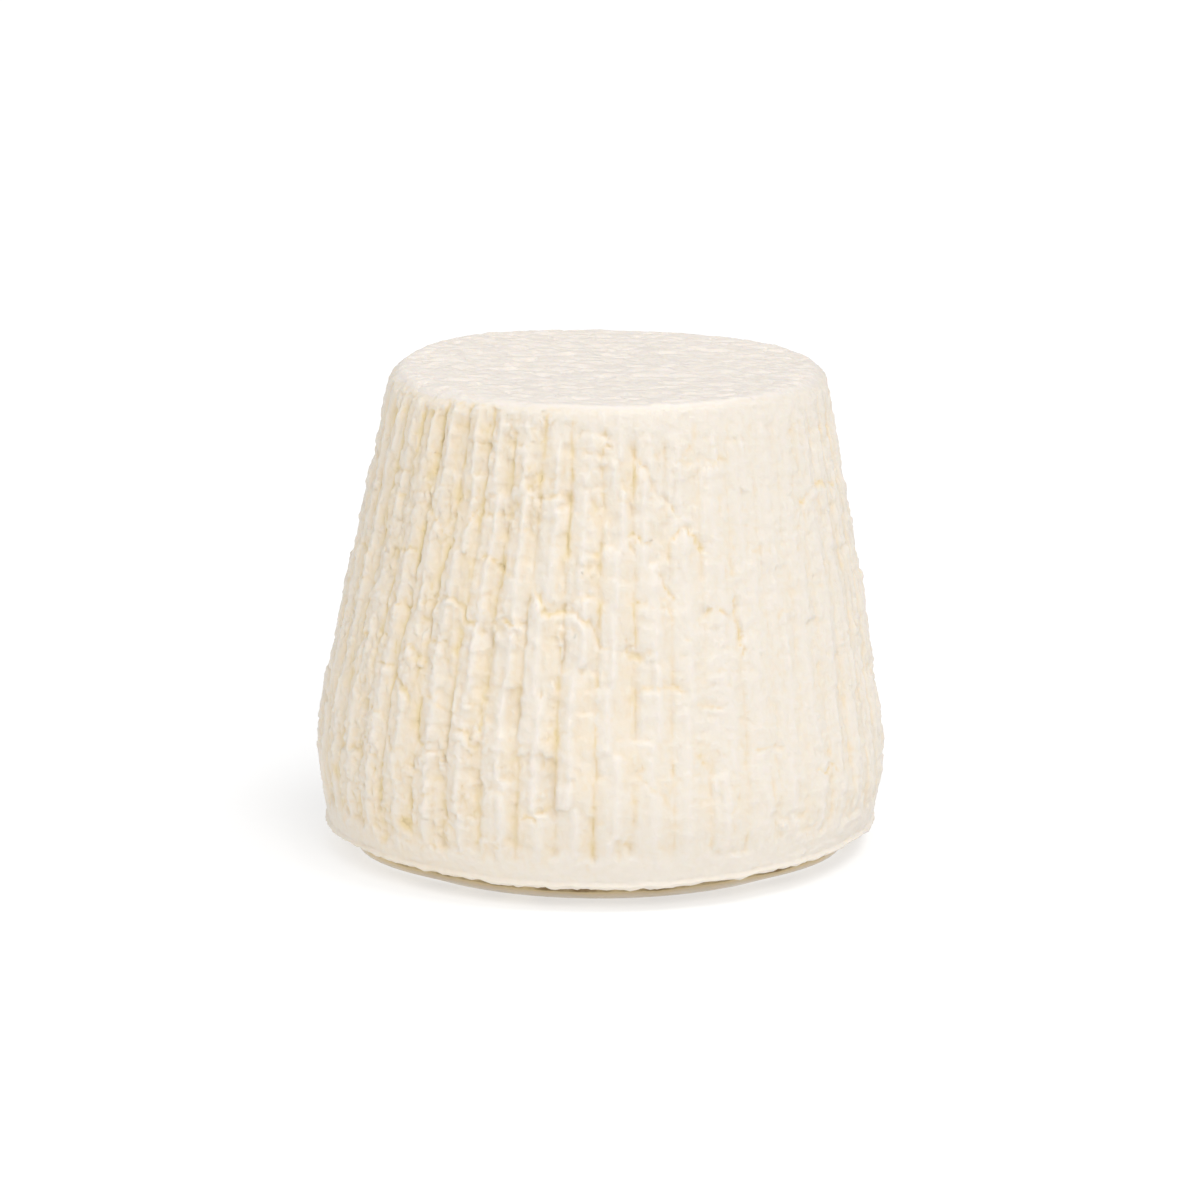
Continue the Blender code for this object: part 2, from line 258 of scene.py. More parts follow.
# the knit lines round the back: lengths along the wall in ribs, heights in mm, ranges to draw from
backKnits = {
    "seed": 11, "tiers": [22.0, 37.0, 52.0, 67.0],
    "from": 12.2, "stagger": 1.3, "short": 10.5,  # where they begin and end
    "depth": 0.9, "halfWidth": (1.0, 1.9), "uneven": (-4.5, 4.5), "drop": (1.5, 7.0), "gap": (0.3, 1.4),
    "nicks": 46, "nickHeight": (12.0, 78.0), "nickLength": (0.5, 1.2), "nickSlope": (-2.0, 1.2),
    "nickDepth": (0.4, 0.8), "nickRise": 0.8,
}

# cloudy noise: how it is squeezed along each axis, size of its lumps in mm, octaves and shift
clouds = {
    "broad": ((1, 1, 1), 14.0, 2, 3.1),
    "middling": ((1, 1, 1), 4.5, 3, 11.7),
    "small": ((1, 1, 1), 2.2, 2, 71.0),
    "tiny": ((1, 1, 1), 0.9, 2, 41.3),
    "flat": ((0.55, 0.55, 1.5), 1.7, 3, 191.0),
    "rumpled": ((0.6, 0.6, 1.3), 3.4, 2, 223.0),
    "striped": ((1, 1, 1), 1.0, 2, 7.7),
    "nicks": ((0.5, 0.5, 1.5), 1.3, 2, 113.0),
    "crumbly": ((1, 1, 1), 9.0, 2, 97.0),
    "joined": ((1, 1, 1), 3.6, 2, 61.0),
    "wander": ((1, 1, 0.6), 6.0, 2, 57.2),
    "ribDepth": ((1, 1, 0.35), 5.0, 2, 29.0),
    "broken": ((1, 1, 0.35), 2.4, 3, 173.0),
    "knitUp": ((1, 1, 1), 1.8, 2, 83.0),
    "footEdge": ((1, 1, 0), 3.2, 3, 47.0),
    "topBroad": ((0.6, 1, 1), 6.0, 2, 19.0),
    "topSmall": ((0.42, 1, 1), 2.0, 3, 131.0),
    "topTiny": ((0.45, 1, 1), 0.8, 2, 151.0),
}

# grains of curd: how they are squeezed, their size in mm and shift
grains = {
    "lumps": ((1, 1, 0.62), 2.7, 5.0),
    "bits": ((1, 1, 0.85), 1.35, 31.0),
    "topLumps": ((0.42, 0.9, 1), 1.8, 77.0),
}

# how far each texture of the wall stands out or goes in, in mm
texture = {
    "broad": 0.20, "middling": 0.09, "small": 0.07, "flat": 0.09, "tiny": 0.09, "rumpled": 0.13,
    "striped": 0.21, "nick": 0.18,
    "lump": 0.06, "lumpCrease": 0.05, "lumpHole": 0.20,
    "bit": 0.20, "bitCrease": 0.08, "bitHole": 0.34, "plainBit": 0.08,
    # where it is crumbly and rougher: direction and spread
    "crumblyLeft": (-48.0, 55.0), "rougherLeft": (-45.0, 28.0),
    "finerFront": (0.35, 0.0, 16.0),  # how much finer the lumps are in front, direction and spread
    # where the flat texture grows, in two goes, and the rumpled one begins: from and to direction
    "flatRight": (5.0, 30.0), "flatFarRight": (32.0, 50.0), "rumpledRight": (26.0, 46.0),
    # direction, spread, height and reach
    "crumblyPatch": (-27.0, 12.0, 25.0, 12.0), "smoothPatch": (-1.0, 12.0, 28.0, 16.0),
}

# how stained the curd gets, where 1 is the deepest crease
stains = {
    "everywhere": 0.15,
    "sunken": 0.36, "crease": 0.85, "pit": 0.5, "nick": 0.3, "groove": 0.55, "tip": 0.4, "dent": 1.2,
    "left": (0.08, -56.0, 36.0),  # darker, yellower colour towards the left: how much more, direction and spread
    "footLeft": (0.08, -45.0, 40.0, 8.0, 15.0),  # the same, then from and to height
    "upperLeft": (-45.0, 35.0, 40.0, 72.0),  # direction, spread, from and to height
    "upperMore": 0.06, "upperGroove": 0.15,
    "dip": 0.55,  # for each mm a point lies below its surroundings
    "dipRounds": 14, "dipRange": (-0.22, 0.30),  # how widely those are taken, and least and most mm
    "most": 0.78,
}


def cloudy(name, points):
    # one of the clouds, from -1 to 1, read at each point
    squeeze, size, octaves, shift = clouds[name]
    places = (points * squeeze / size + shift).tolist()
    return np.array([noise.fractal(place, 0.9, 2.0, octaves) for place in places])


def curdGrains(name, points):
    # grains packed together: each one's draw, the creases between two and the pinholes between three
    squeeze, size, shift = grains[name]
    places = (points * squeeze / size + shift).tolist()
    distances, draws = [], []
    for place in places:
        gaps, seeds = noise.voronoi(place)
        distances.append(gaps[:3])
        draws.append(noise.cell(seeds[0] * 17.3))
    nearest, second, third = np.array(distances).T
    creaseWidth, holeWidth = 0.26, 0.30  # as shares of a grain
    creases = np.clip(1 - (second - nearest) / creaseWidth, 0, 1)
    pinholes = np.clip(1 - (third - nearest) / holeWidth, 0, 1)
    return np.array(draws) - 0.5, creases ** 1.5, pinholes


def backKnitLines():
    # arched lump tops in staggered tiers round the back, with a few short nicks between them
    draw = np.random.default_rng(backKnits["seed"])
    lines = []
    short, last = backKnits["short"], cheese["ribs"] - backKnits["short"]
    for tier, level in enumerate(backKnits["tiers"]):
        middle = backKnits["from"] + backKnits["stagger"] * (tier % 2)
        while middle < last:
            halfWidth = draw.uniform(*backKnits["halfWidth"])
            top = level + draw.uniform(*backKnits["uneven"])
            leftDrop, rightDrop = draw.uniform(*backKnits["drop"], 2)
            arch = [(middle - halfWidth, top - leftDrop),
                    (middle - halfWidth / 2, top - leftDrop / 4),
                    (middle, top),
                    (middle + halfWidth / 2, top - rightDrop / 4),
                    (middle + halfWidth, top - rightDrop)]
            lines.append((backKnits["depth"], arch))
            middle += 2 * halfWidth + draw.uniform(*backKnits["gap"])
    for nick in range(backKnits["nicks"]):
        start, level = draw.uniform(short, last), draw.uniform(*backKnits["nickHeight"])
        length, slope = draw.uniform(*backKnits["nickLength"]), draw.uniform(*backKnits["nickSlope"])
        depth = draw.uniform(*backKnits["nickDepth"])
        lines.append((depth, [(start, level), (start + length / 2, level + backKnits["nickRise"]),
                              (start + length, level + slope)]))
    return lines


def plainCheese():
    # a disc is drawn up ring by ring into the plain turned form, then filled top and bottom
    around = cheese["ribs"] * cheese["columnsPerRib"]
    firstRadius = cheese["outline"][0][1]
    selectNothing()
    bpy.ops.mesh.primitive_circle_add(vertices=around, radius=firstRadius * mm, fill_type="NGON",
                                      rotation=(0, 0, math.radians(cheese["firstGroove"])))
    body = bpy.context.object
    body.name = "saltedCheese"
    bpy.ops.object.transform_apply(location=True, rotation=True, scale=True)
    bpy.ops.object.mode_set(mode="EDIT")
    bpy.ops.mesh.select_all(action="SELECT")
    heights = np.linspace(0, topHeight, cheese["rings"] + 1)
    radii = wallRadius(heights)
    for ring in range(1, len(heights)):
        rise = (heights[ring] - heights[ring - 1]) * mm
        growth = radii[ring] / radii[ring - 1]
        bpy.ops.mesh.extrude_region_move(TRANSFORM_OT_translate={"value": (0, 0, rise)})
        bpy.ops.transform.resize(value=(growth, growth, 1), center_override=(0, 0, 0))
    last = radii[-1]
    for inset in cheese["rimRings"]:
        bpy.ops.mesh.extrude_region_move()
        growth = (radii[-1] - inset) / last
        bpy.ops.transform.resize(value=(growth, growth, 1), center_override=(0, 0, 0))
        last = radii[-1] - inset
    bpy.ops.mesh.delete(type="ONLY_FACE")
    closeRing(body, atTop=False)
    closeRing(body, atTop=True)
    bpy.ops.mesh.select_all(action="SELECT")
    bpy.ops.mesh.subdivide(number_cuts=cheese["cuts"], smoothness=0)
    bpy.ops.mesh.normals_make_consistent(inside=False)
    bpy.ops.object.mode_set(mode="OBJECT")
    return body


def closeRing(body, atTop):
    # the open ring at the sole or at the top is filled with a square grid
    bpy.ops.mesh.select_all(action="DESELECT")
    bpy.ops.mesh.select_mode(type="EDGE")
    bpy.ops.mesh.select_non_manifold(extend=False, use_wire=True, use_boundary=True,
                                     use_multi_face=False, use_non_contiguous=False, use_verts=False)
    bpy.ops.object.mode_set(mode="OBJECT")
    mesh = body.data
    for edge in mesh.edges:
        middle = (mesh.vertices[edge.vertices[0]].co.z + mesh.vertices[edge.vertices[1]].co.z) / 2
        if (middle > topHeight * mm / 2) != atTop:
            edge.select = False
    bpy.ops.object.mode_set(mode="EDIT")
    bpy.ops.mesh.fill_grid(span=cheese["ribs"] * cheese["columnsPerRib"] // 4)


def wallRadius(height):
    # a smooth curve through the outline's points
    heights, radii = np.array(cheese["outline"]).T
    slopes = np.gradient(radii, heights)
    low = np.clip(np.searchsorted(heights, height, side="right") - 1, 0, len(heights) - 2)
    span = heights[low + 1] - heights[low]
    share = np.clip((height - heights[low]) / span, 0.0, 1.0)
    start = (1 + 2 * share) * (1 - share) ** 2 * radii[low] + share * (1 - share) ** 2 * span * slopes[low]
    end = share ** 2 * (3 - 2 * share) * radii[low + 1] + share ** 2 * (share - 1) * span * slopes[low + 1]
    return start + end


def ribDepthKept(angle, height):
    kept = np.ones_like(angle)
    for direction, level, sideReach, upReach, loss in ribs["smears"]:
        kept *= 1 - loss * facing(angle, direction, sideReach) * bell(height - level, upReach)
    return kept


def ribSection(share):
    # the rib's section, smoothed between its listed points
    around = np.linspace(0, 1, 401)
    heights = np.interp(around, *np.array(ribs["section"]).T)
    window = np.hanning(23)
    wrapped = np.concatenate([heights[-21:-1], heights, heights[1:21]])
    softened = np.convolve(wrapped, window, "same")[20:-20]
    return np.interp(share, around, softened / window.sum())


def ribLengths(rib, height, raggedness):
    # for each point: its length of curd and that length's draws, and how far off its two joints are
    draw = np.random.default_rng(lengths["seed"])
    index = np.floor(rib).astype(int) % cheese["ribs"]
    share = rib % 1.0
    count, far = lengths["perRib"], lengths["farOff"]
    number, below, above = np.zeros(len(rib)), np.full(len(rib), far), np.full(len(rib), far)
    draws = np.zeros((len(rib), 5))
    for place in range(cheese["ribs"]):
        steps = draw.uniform(lengths["shortest"], lengths["longest"], count)
        joints = np.cumsum(steps) - draw.uniform(0, lengths["firstDrop"])
        arches = lengths["arch"] * draw.uniform(0.2, 1.3, count + 1)
        slants = lengths["slant"] * draw.uniform(-1, 1, count + 1)
        own = draw.uniform(-1, 1, (count + 1, 5))
        picked = np.flatnonzero(index == place)
        up = height[picked] + raggedness[picked]
        across = share[picked] - 0.5
        level = np.searchsorted(joints, up)
        up = up + arches[level] * (4 * across ** 2) + slants[level] * across
        level = np.clip(np.searchsorted(joints, up), 0, count - 1)
        below[picked] = joints[level] - up
        above[picked] = np.where(level > 0, up - joints[np.maximum(level - 1, 0)], far)
        number[picked] = place * (count + 1) + level
        draws[picked] = own[level]
    return number, draws, below, above


def knitRelief(rib, height, flank, ribbed):
    # each line cuts a crease; the lump below it has a proud, rounded lip and the one above sits back
    pitch, reach = ribs["pitch"], knit["reach"]
    around = cheese["ribs"] * pitch
    relief = np.zeros_like(rib)
    creases = np.zeros_like(rib)
    for depth, line in knitLines + backKnitLines():
        firstRib = line[0][0]
        across = ((rib - firstRib) * pitch + around / 2) % around - around / 2
        lineHeights = [point[1] for point in line]
        length = (line[-1][0] - firstRib) * pitch
        near = (across > -reach) & (across < length + reach)
        near &= (height > min(lineHeights) - reach) & (height < max(lineHeights) + reach)
        picked = np.flatnonzero(near)
        if not len(picked):
            continue
        x, y = across[picked], height[picked]
        nearest, side, fade = np.full(len(picked), 1e3), np.zeros(len(picked)), np.zeros(len(picked))
        travelled = 0.0
        total = sum(math.hypot((b[0] - a[0]) * pitch, b[1] - a[1]) for a, b in zip(line[:-1], line[1:]))
        for (ribA, upA), (ribB, upB) in zip(line[:-1], line[1:]):
            run, rise = (ribB - ribA) * pitch, upB - upA
            size = math.hypot(run, rise)
            dx, dy = x - (ribA - firstRib) * pitch, y - upA
            along = np.clip((dx * run + dy * rise) / size ** 2, 0.0, 1.0)
            gap = np.hypot(dx - along * run, dy - along * rise)
            closer = gap < nearest
            side = np.where(closer, np.sign(dy * run - dx * rise), side)
            place = (travelled + along * size) / total
            fade = np.where(closer, np.clip(np.minimum(place, 1 - place) * 6, 0.25, 1), fade)
            nearest = np.minimum(nearest, gap)
            travelled += size
        strength = depth * fade
        below, above = np.where(side < 0, nearest, 1e3), np.where(side >= 0, nearest, 1e3)
        crease = bell(nearest, knit["creaseWidth"] * (0.7 + 0.3 * depth))
        tip = np.clip(1 - below / knit["tipReach"], 0, 1) ** 2
        change = knit["lip"] * np.exp(-below / knit["lipReach"]) * (1 - 0.6 * flank[picked])
        change -= knit["recess"] * np.exp(-above / knit["recessReach"])
        change -= knit["tip"] * tip * (0.25 + 0.75 * flank[picked] ** 2) * ribbed[picked]
        change -= knit["crease"] * crease
        relief[picked] += change * strength
        creases[picked] = np.maximum(creases[picked], crease * strength)
    return relief, creases


def ribLean(angle, height):
    shift, direction, spread, low, high = ribs["lean"]
    leaning = shift * facing(angle, direction, spread) * smoothStep(height, low, high)
    begins, full, fades, ends = ribs["earlySides"]
    early = ribs["early"] * smoothStep(-angle, begins, full)
    return leaning - early * (1 - smoothStep(-angle, fades, ends))


def readWall(place, angle, height):
    # what the ribs, the knit lines and the grain all need to know about each point of the wall
    wall = SimpleNamespace(place=place, angle=angle, height=height)
    wall.middling, wall.small, wall.tiny = (cloudy(name, place) for name in ("middling", "small", "tiny"))
    wall.rib = (angle - cheese["firstGroove"]) * cheese["ribs"] / 360
    wall.rib = wall.rib - ribLean(angle, height) + ribs["shift"]
    wall.rib = wall.rib + ribs["wander"] * cloudy("wander", place) + ribs["smallWander"] * wall.small
    wall.kept = ribDepthKept(angle, height)
    higher, leftward, leftSpread = ribs["higher"]
    begin = ribs["begin"] + ribs["beginWander"] * wall.middling
    end = ribs["end"] + ribs["endWander"] * wall.middling + higher * facing(angle, leftward, leftSpread)
    started = smoothStep(height, begin - ribs["fade"], begin + ribs["fade"])
    under, over = ribs["grooveEnds"]
    wall.grooved = started * (1 - smoothStep(height, end - under, end + over))
    under, over = ribs["ribEnds"]
    wall.ribbed = started * (1 - smoothStep(height, end - under, end + over))
    direction, spread, low, high = ribs["frontLow"]
    wall.frontLow = facing(angle, direction, spread) * (1 - smoothStep(height, low, high))
    return wall


def pressRibs(wall):
    # the ribs with their grooves, and the steps from one length of curd to the next
    ragged = lengths["ragged"] * (0.7 * wall.small + 0.5 * wall.tiny)
    wall.number, draws, below, above = ribLengths(wall.rib, wall.height, ragged)
    share = (wall.rib + lengths["grooveShift"] * draws[:, 3]) % 1.0
    wall.flank = np.abs(2 * share - 1)
    crestShift = lengths["crestShift"] * draws[:, 0] * (1 - wall.flank ** 2)
    depth = np.clip(0.85 + 0.55 * cloudy("ribDepth", wall.place), 0.15, 1.5)
    depth *= 1 + lengths["depthShift"] * draws[:, 4]
    wall.section = ribSection(np.clip(share + crestShift, 0, 1))
    wall.valley = (1 - wall.section) * wall.kept * wall.ribbed
    fromGroove = np.minimum(share, 1 - share) * 2 * math.pi * wallRadius(wall.height) / cheese["ribs"]
    unbroken = np.clip(0.4 + 1.8 * cloudy("broken", wall.place) + 0.35 * wall.frontLow, 0, 1.25)
    wall.slit = bell(fromGroove, ribs["slitWidth"]) * unbroken * (0.2 + 0.8 * wall.kept) * wall.grooved
    weaker, weakerFrom, weakerTo = ribs["slitRight"]
    wall.slit *= 1 - weaker * smoothStep(wall.angle, weakerFrom, weakerTo)
    left, direction, spread = ribs["deeperLeft"]
    right, rightFrom, rightTo = ribs["deeperRight"]
    depth *= (ribs["deeper"] + left * facing(wall.angle, direction, spread)
              + right * smoothStep(wall.angle, rightFrom, rightTo))
    depth *= 1 + 0.35 * wall.frontLow
    relief = -ribs["depth"] * depth * wall.valley - ribs["slit"] * wall.slit
    strength = np.clip(1.1 * draws[:, 1] + 0.2, 0.0, 1.0) * wall.ribbed * (0.35 + 0.65 * wall.kept)
    strength = strength * (1 - 0.6 * wall.frontLow)
    tip = np.clip(1 - below / lengths["tipReach"], 0, 1) ** 2
    inner = smoothStep(1 - wall.flank, 0.0, 0.24)
    relief += strength * inner * (lengths["offset"] * draws[:, 2]
                                  - lengths["recess"] * np.exp(-above / lengths["recessReach"]))
    relief -= strength * lengths["tip"] * tip * (0.4 + 0.6 * wall.flank ** 2)
    wall.tipStain = stains["tip"] * strength * tip ** 2
    print("  ribs pressed")
    return relief


def pressKnits(wall):
    warpAcross = knit["ragged"] * (wall.small + 0.4 * wall.tiny) / ribs["pitch"]
    warpUp = knit["ragged"] * cloudy("knitUp", wall.place)
    relief, wall.creases = knitRelief(wall.rib + warpAcross, wall.height + warpUp, wall.flank,
                                      wall.ribbed * wall.kept)
    print("  knit lines pressed")
    return relief


def pressGrain(wall):
    # lumps, crumbs, pinholes and fine texture
    place, angle, height = wall.place, wall.angle, wall.height
    direction, spread = texture["crumblyLeft"]
    crumbly = smoothStep(cloudy("crumbly", place), -0.4, 0.3)
    crumbly = crumbly * (0.35 + 0.65 * facing(angle, direction, spread))
    direction, spread, level, reach = texture["crumblyPatch"]
    crumbly = np.maximum(crumbly, 0.8 * facing(angle, direction, spread) * bell(height - level, reach))
    crumbly *= smoothStep(height, 6, 11) * (0.25 + 0.75 * wall.kept)
    direction, spread, level, reach = texture["smoothPatch"]
    crumbly *= 1 - 0.75 * facing(angle, direction, spread) * bell(height - level, reach)

    joined = smoothStep(cloudy("joined", place), -0.35, 0.45)
    lumpDraws, lumpCreases, lumpHoles = curdGrains("lumps", place)
    bitDraws, bitCreases, bitHoles = curdGrains("bits", place)
    coarse = (0.3 + 0.7 * wall.kept) * smoothStep(height, 5, 10) * (1 - 0.6 * smoothStep(height, 79, 83))
    low = 0.3 + 0.7 * smoothStep(1 - wall.section, 0.15, 0.75)
    joined *= low * coarse
    finer, direction, spread = texture["finerFront"]
    coarse *= 1 - finer * facing(angle, direction, spread)
    grain = (texture["lump"] * coarse * lumpDraws - texture["lumpCrease"] * lumpCreases * joined
             - texture["lumpHole"] * lumpHoles * joined)
    bits = crumbly * (0.55 + 0.45 * low)
    holed = bitHoles * (bitDraws > 0.05) * bits
    grain += (texture["bit"] * bits * bitDraws - texture["bitCrease"] * bitCreases * bits
              - texture["bitHole"] * holed + texture["plainBit"] * coarse * bitDraws)
    wall.pits = np.maximum(lumpHoles * joined, holed)

    rougher = facing(angle, *texture["rougherLeft"])
    along = np.column_stack([place[:, 0], place[:, 1], 0.09 * height + wall.number * 3.7])
    striped = cloudy("striped", along)
    wall.nicks = smoothStep(cloudy("nicks", place), 0.3, 0.8) * (0.2 + 0.8 * crumbly)
    wall.nicks *= smoothStep(height, 5, 9)
    flat = cloudy("flat", place)
    flat *= (1 + 0.5 * smoothStep(angle, *texture["flatRight"])
             + 0.5 * smoothStep(angle, *texture["flatFarRight"]))
    flat *= 1 + 0.5 * rougher
    rumpled = cloudy("rumpled", place) * smoothStep(angle, *texture["rumpledRight"])
    grain += (texture["broad"] * cloudy("broad", place) + texture["middling"] * wall.middling
              + texture["small"] * wall.small + texture["flat"] * flat)
    grain += texture["tiny"] * wall.tiny * (1 + 0.6 * rougher) + texture["rumpled"] * rumpled
    grain += ((0.55 + 0.45 * wall.ribbed) * (0.5 + 0.5 * wall.kept) * texture["striped"]
              * (1 - 0.3 * wall.frontLow) * striped - texture["nick"] * wall.nicks)
    print("  lumps, pinholes and grain pressed")
    return grain


def pressDents(wall):
    depths = np.zeros_like(wall.rib)
    for dentRib, level, reach, depth in dents:
        across = (wall.rib - dentRib + cheese["ribs"] / 2) % cheese["ribs"] - cheese["ribs"] / 2
        depths += depth * bell(np.hypot(ribs["pitch"] * across, wall.height - level), reach)
    return depths


def stainWall(wall, dented):
    # grooves, creases, pits and dents gather the stain, and the colour is darker and yellower towards the
    # left
    angle, height = wall.angle, wall.height
    sunken = wall.valley * np.clip(0.8 + 0.6 * wall.middling, 0.2, 1.3)
    creases = wall.creases * np.clip(0.65 + 0.8 * wall.middling, 0.2, 1.0)
    direction, spread, low, high = stains["upperLeft"]
    upperLeft = facing(angle, direction, spread) * smoothStep(height, low, high)
    grooves = (stains["groove"] + stains["upperGroove"] * upperLeft) * wall.slit
    stain = np.maximum.reduce([stains["sunken"] * sunken, stains["crease"] * creases,
                               stains["pit"] * wall.pits, stains["nick"] * wall.nicks,
                               grooves, wall.tipStain])
    left, direction, spread = stains["left"]
    stain += (stains["dent"] * np.maximum(dented, 0) + stains["everywhere"]
              + left * facing(angle, direction, spread) + stains["upperMore"] * upperLeft)
    footLeft, direction, spread, low, high = stains["footLeft"]
    stain += footLeft * facing(angle, direction, spread) * (1 - smoothStep(height, low, high))
    return stain


def shapeFoot(place, angle, height):
    # how far the sole reaches out, and how much higher or lower the crisp edge runs
    step, stepFrom, stepTo = foot["step"]
    low, high = foot["stepHeights"]
    further = step * smoothStep(np.abs(angle), stepFrom, stepTo) * (1 - smoothStep(height, low, high))
    edgeHeight, edgeReach, edgeWave = foot["edge"]
    frontLift, sideLift = foot["lift"]
    begins, full, fades, ends = foot["liftSides"]
    waves = edgeWave * cloudy("footEdge", place) * bell(height - edgeHeight, edgeReach)
    sideways = smoothStep(np.abs(angle), begins, full) * (1 - smoothStep(np.abs(angle), fades, ends))
    waves += (frontLift + sideLift * sideways) * bell(height - edgeHeight, 2 * edgeReach)
    return further, waves * smoothStep(height, *foot["edgeHeights"])


def wearRim(angle, height, radius):
    # how far the rim's corner is rounded down
    fromRim = topHeight - height + np.maximum(topRadius - radius, 0)
    drop = np.full(len(radius), rim["drop"])
    for direction, spread, further in rim["worn"]:
        drop += further * facing(angle, direction, spread)
    return drop * np.clip(1 - fromRim / (rim["dropReach"] * drop), 0, 1) ** 2


def raiseTop(place, height, radius, x, y):
    # the top's lumps, and the high part of its rim
    rimX, rimY, rimReach, rimRise = rim["high"]
    rise = rimRise * bell(np.hypot(x - rimX, y - rimY), rimReach)
    rise = rise * smoothStep(height, rim["highFrom"], topHeight)
    top = np.flatnonzero(height > rim["lumpsNear"])
    lumps = np.zeros(len(top))
    for name, size in rim["lumps"].items():
        lumps += size * cloudy(name, place[top])
    draws, creases, holes = curdGrains("topLumps", place[top])
    lumpSize, creaseDepth, holeDepth = rim["grain"]
    lumps += lumpSize * draws - creaseDepth * creases - holeDepth * holes
    smoother, inside, outside = rim["smoother"]
    atRim = smoothStep(radius[top], inside, outside)
    rise[top] += lumps * smoothStep(height[top], rim["lumpsFrom"], topHeight) * (1 - smoother * atRim)
    return rise


def pressCurd(body):
    # the plain form's points moved out and in
    mesh = body.data
    points = readPoints(mesh) / mm
    height = points[:, 2].copy()
    angle = np.degrees(np.arctan2(points[:, 0], -points[:, 1]))
    onWall = np.flatnonzero((height < topHeight - 0.01) & (height > 0.01))
    print("  points:", len(points))
    radius = np.hypot(points[:, 0], points[:, 1])
    radius[onWall] = wallRadius(height[onWall])
    sideways, frontways = np.sin(np.radians(angle)), -np.cos(np.radians(angle))
    place = np.column_stack([radius * sideways, radius * frontways, height])
    wall = readWall(place[onWall], angle[onWall], height[onWall])
    relief, grain, stain = np.zeros((3, len(points)))
    relief[onWall] = pressRibs(wall)
    relief[onWall] += pressKnits(wall)
    grain[onWall] = pressGrain(wall)
    dented = pressDents(wall)
    relief[onWall] -= dented
    stain[onWall] = stainWall(wall, dented)

    relief = spreadOut(mesh, relief, 1) + grain
    dips = np.clip(spreadOut(mesh, relief, stains["dipRounds"]) - relief, *stains["dipRange"])
    stain = np.clip(stain + stains["dip"] * dips, 0, stains["most"])
    # the sole gets painted shade: dark brown just under the crisp edge, lighter down towards the floor,
    # taken into the stain values
    least, more = foot["paintedSoleShade"]
    soleShade = least + more * smoothStep(height, *foot["paintedSoleShadeHeights"])
    stain = np.maximum(stain, soleShade * (1 - smoothStep(height, *foot["soleEnds"])))
    swellHeight, swellReach, swell = cheese["swell"]
    relief[onWall] -= swell * sideways[onWall] * bell(wall.height - swellHeight, swellReach)

    further, waves = shapeFoot(place, angle, height)
    radius += relief * smoothStep(height, *foot["plain"])
    radius[onWall] += further[onWall]
    worn = wearRim(angle, height, radius)
    radius -= worn
    x, y = radius * sideways, radius * frontways
    rise = raiseTop(place, height, radius, x, y)
    points[:, 0] = x + cheese["lean"] * height / topHeight
    points[:, 1] = y
    points[:, 2] = height + rise - worn + waves
    # this attribute takes the stain values, with the sole's painted shade, to the material
    creaseDepth = mesh.attributes.new("creaseDepth", "FLOAT", "POINT")
    creaseDepth.data.foreach_set("value", np.clip(stain, 0, 1).astype(np.float32))
    return points


def fitToBox(points):
    # the finished form fills the frame's box and stays inside it
    low, high = np.array(nodeLow) / mm, np.array(nodeHigh) / mm
    slack = cheese["boxSlack"]
    middle = (points.min(axis=0) + points.max(axis=0)) / 2
    points[:, :2] += (low + high)[:2] / 2 - middle[:2]
    for axis in range(2):
        size = points[:, axis].max() - points[:, axis].min()
        points[:, axis] *= min(1.0, (high[axis] - low[axis] - 2 * slack) / size)
    points[:, 2] *= (high[2] - low[2] - slack) / points[:, 2].max()
    return points


def makeCheese():
    body = plainCheese()
    points = fitToBox(pressCurd(body))
    writePoints(body.data, points * mm)
    selectNothing()
    body.select_set(True)
    bpy.context.view_layer.objects.active = body
    faces = sum(len(face.vertices) - 2 for face in body.data.polygons)
    thin = body.modifiers.new("thin", "DECIMATE")
    thin.ratio = min(1.0, cheese["triangles"] / faces)
    bpy.ops.object.modifier_apply(modifier=thin.name)
    bpy.ops.object.shade_smooth()
    print("  triangles:", faces, "thinned to", len(body.data.polygons))
    return body


class Signal:  # one output socket, so that shader sums read as plain arithmetic
    def __init__(self, bench, socket):
        self.bench, self.socket = bench, socket

    def combine(self, operation, first, second):
        return self.bench.add("Math", {"operation": operation}, {0: first, 1: second})

    def __add__(self, other):
        return self.combine("ADD", self, other)

    def __sub__(self, other):
        return self.combine("SUBTRACT", self, other)

    def __rsub__(self, other):
        return self.combine("SUBTRACT", other, self)

    def __mul__(self, other):
        return self.combine("MULTIPLY", self, other)

    __radd__ = __add__
    __rmul__ = __mul__


class Bench:  # a material's node tree
    def __init__(self, material):
        material.use_nodes = True
        self.tree = material.node_tree
        self.tree.nodes.clear()

    def add(self, kind, settings=None, inputs=None, output=0):
        node = self.tree.nodes.new("ShaderNode" + kind)
        for name, value in (settings or {}).items():
            if name == "stops":
                self.setStops(node.color_ramp, value)
            else:
                setattr(node, name, value)
        for name, value in (inputs or {}).items():
            self.feed(node.inputs[name], value)
        return Signal(self, node.outputs[output])

    def setStops(self, ramp, stops):
        while len(ramp.elements) < len(stops):
            ramp.elements.new(0.5)
        for element, (position, colour) in zip(ramp.elements, stops):
            element.position, element.color = position, colour

    def feed(self, socket, value):
        if isinstance(value, Signal):
            self.tree.links.new(value.socket, socket)
        else:
            socket.default_value = value


